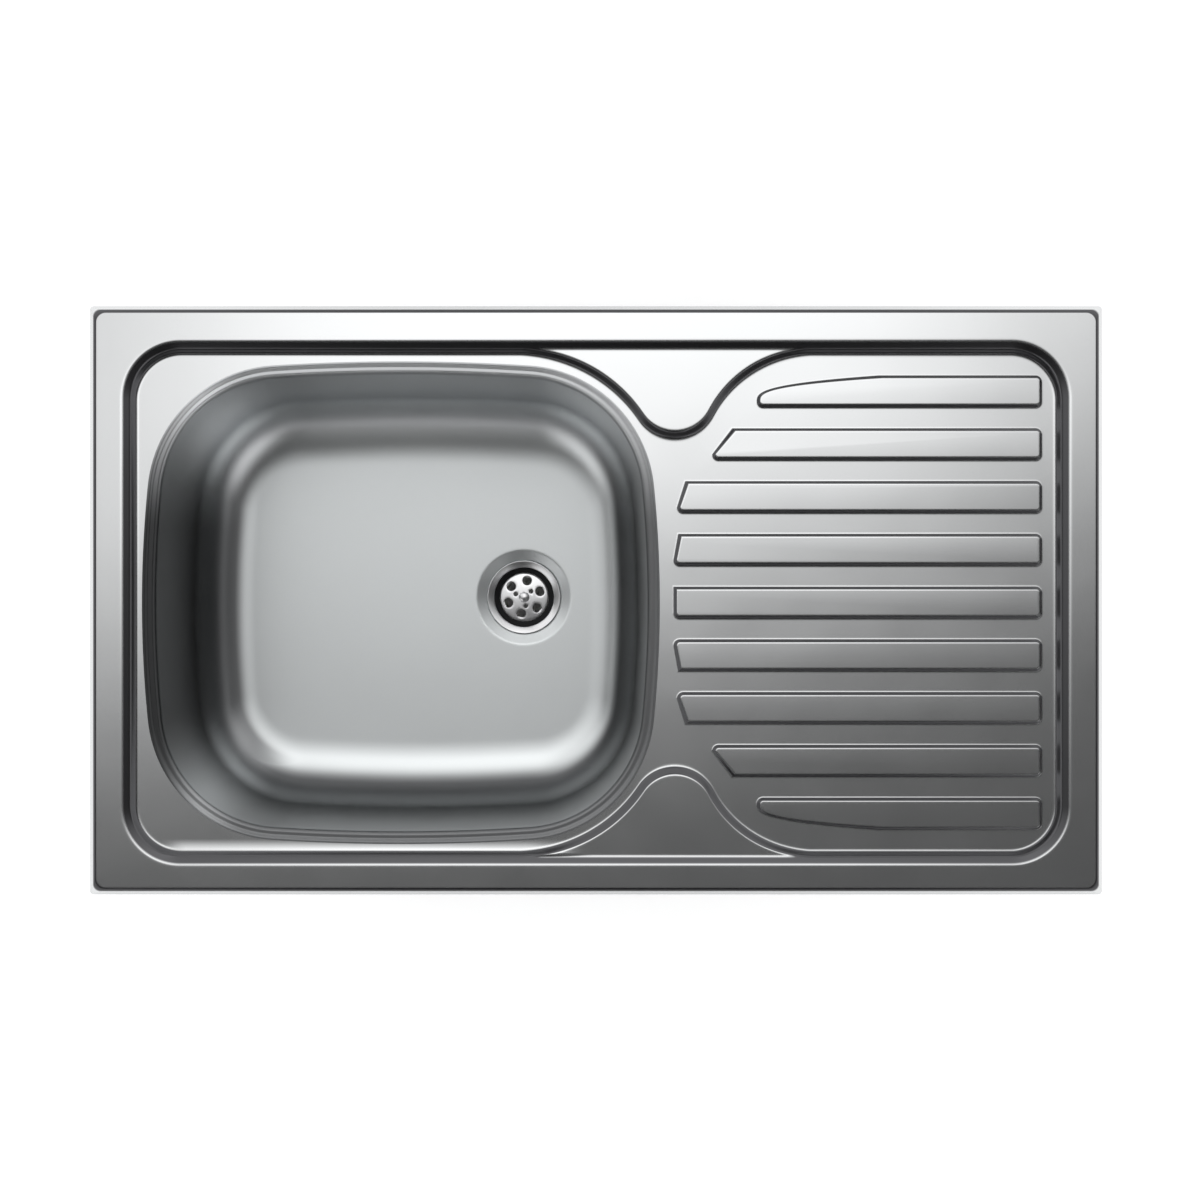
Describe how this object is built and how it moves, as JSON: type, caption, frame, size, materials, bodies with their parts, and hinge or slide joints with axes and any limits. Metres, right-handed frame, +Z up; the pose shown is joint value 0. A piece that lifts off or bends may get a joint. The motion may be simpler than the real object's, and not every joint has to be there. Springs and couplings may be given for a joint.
{
  "type": "single bowl kitchen sink",
  "caption": "Inset stainless-steel kitchen sink with a deep bowl, a ribbed drainer, a strainer waste with a threaded outlet, and swing-out clips that clamp it to the worktop.",
  "frame": {"origin": "centre of the worktop cut-out, on the worktop's surface, where the sealing strip sits", "axes": "+X towards the drainer, +Y towards the back, +Z up, out of the worktop"},
  "size_m": [0.86, 0.5, 0.2284],
  "materials": {
    "satin_steel": "satin stainless steel",
    "polished_steel": "polished stainless steel",
    "galvanised_steel": "zinc-plated steel",
    "black_foam": "closed-cell foam",
    "black_rubber": "moulded rubber",
    "grey_pad": "sound-deadening sheet",
    "white_plastic": "moulded polypropylene",
    "brass": "turned brass"
  },
  "bodies": {
    "sink": {"drainer_top": "satin_steel", "bowl": "satin_steel", "sealing_strip": "black_foam", "bowl_sound_pad": "grey_pad", "drainer_sound_pad": "grey_pad", "waste_flange": "polished_steel", "flange_gasket": "black_rubber", "plug_seat_ring": "black_rubber", "strainer": "polished_steel", "strainer_screw": "polished_steel", "body_gasket": "black_rubber", "waste_body": "white_plastic", "brass_insert": "brass", "clip_nuts": "galvanised_steel", "bracket_front_left": "galvanised_steel", "bracket_front_middle": "galvanised_steel", "bracket_front_right": "galvanised_steel", "bracket_back_left": "galvanised_steel", "bracket_back_middle": "galvanised_steel", "bracket_back_right": "galvanised_steel", "bracket_left_end": "galvanised_steel", "bracket_right_end": "galvanised_steel"},
    "screw_front_left": {"screw_front_left": "galvanised_steel"},
    "claw_front_left": {"claw_front_left": "galvanised_steel"},
    "screw_front_middle": {"screw_front_middle": "galvanised_steel"},
    "claw_front_middle": {"claw_front_middle": "galvanised_steel"},
    "screw_front_right": {"screw_front_right": "galvanised_steel"},
    "claw_front_right": {"claw_front_right": "galvanised_steel"},
    "screw_back_left": {"screw_back_left": "galvanised_steel"},
    "claw_back_left": {"claw_back_left": "galvanised_steel"},
    "screw_back_middle": {"screw_back_middle": "galvanised_steel"},
    "claw_back_middle": {"claw_back_middle": "galvanised_steel"},
    "screw_back_right": {"screw_back_right": "galvanised_steel"},
    "claw_back_right": {"claw_back_right": "galvanised_steel"},
    "screw_left_end": {"screw_left_end": "galvanised_steel"},
    "claw_left_end": {"claw_left_end": "galvanised_steel"},
    "screw_right_end": {"screw_right_end": "galvanised_steel"},
    "claw_right_end": {"claw_right_end": "galvanised_steel"}
  },
  "joints": [
    {"name": "lift_front_left", "type": "slide", "parent": "sink", "child": "screw_front_left", "axis": [0, 0, 1], "range_m": [0, 0.015]},
    {"name": "swing_front_left", "type": "hinge", "parent": "screw_front_left", "child": "claw_front_left", "pos_m": [-0.29, -0.2325, -0.055], "axis": [0, 0, 1], "range_deg": [0, 90]},
    {"name": "lift_front_middle", "type": "slide", "parent": "sink", "child": "screw_front_middle", "axis": [0, 0, 1], "range_m": [0, 0.015]},
    {"name": "swing_front_middle", "type": "hinge", "parent": "screw_front_middle", "child": "claw_front_middle", "pos_m": [0, -0.2325, -0.055], "axis": [0, 0, 1], "range_deg": [0, 90]},
    {"name": "lift_front_right", "type": "slide", "parent": "sink", "child": "screw_front_right", "axis": [0, 0, 1], "range_m": [0, 0.015]},
    {"name": "swing_front_right", "type": "hinge", "parent": "screw_front_right", "child": "claw_front_right", "pos_m": [0.29, -0.2325, -0.055], "axis": [0, 0, 1], "range_deg": [0, 90]},
    {"name": "lift_back_left", "type": "slide", "parent": "sink", "child": "screw_back_left", "axis": [0, 0, 1], "range_m": [0, 0.015]},
    {"name": "swing_back_left", "type": "hinge", "parent": "screw_back_left", "child": "claw_back_left", "pos_m": [-0.29, 0.2285, -0.055], "axis": [0, 0, 1], "range_deg": [0, 90]},
    {"name": "lift_back_middle", "type": "slide", "parent": "sink", "child": "screw_back_middle", "axis": [0, 0, 1], "range_m": [0, 0.015]},
    {"name": "swing_back_middle", "type": "hinge", "parent": "screw_back_middle", "child": "claw_back_middle", "pos_m": [0, 0.2285, -0.055], "axis": [0, 0, 1], "range_deg": [0, 90]},
    {"name": "lift_back_right", "type": "slide", "parent": "sink", "child": "screw_back_right", "axis": [0, 0, 1], "range_m": [0, 0.015]},
    {"name": "swing_back_right", "type": "hinge", "parent": "screw_back_right", "child": "claw_back_right", "pos_m": [0.29, 0.2285, -0.055], "axis": [0, 0, 1], "range_deg": [0, 90]},
    {"name": "lift_left_end", "type": "slide", "parent": "sink", "child": "screw_left_end", "axis": [0, 0, 1], "range_m": [0, 0.015]},
    {"name": "swing_left_end", "type": "hinge", "parent": "screw_left_end", "child": "claw_left_end", "pos_m": [-0.4105, 0, -0.055], "axis": [0, 0, 1], "range_deg": [0, 90]},
    {"name": "lift_right_end", "type": "slide", "parent": "sink", "child": "screw_right_end", "axis": [0, 0, 1], "range_m": [0, 0.015]},
    {"name": "swing_right_end", "type": "hinge", "parent": "screw_right_end", "child": "claw_right_end", "pos_m": [0.4105, 0, -0.055], "axis": [0, 0, 1], "range_deg": [0, 90]}
  ]
}
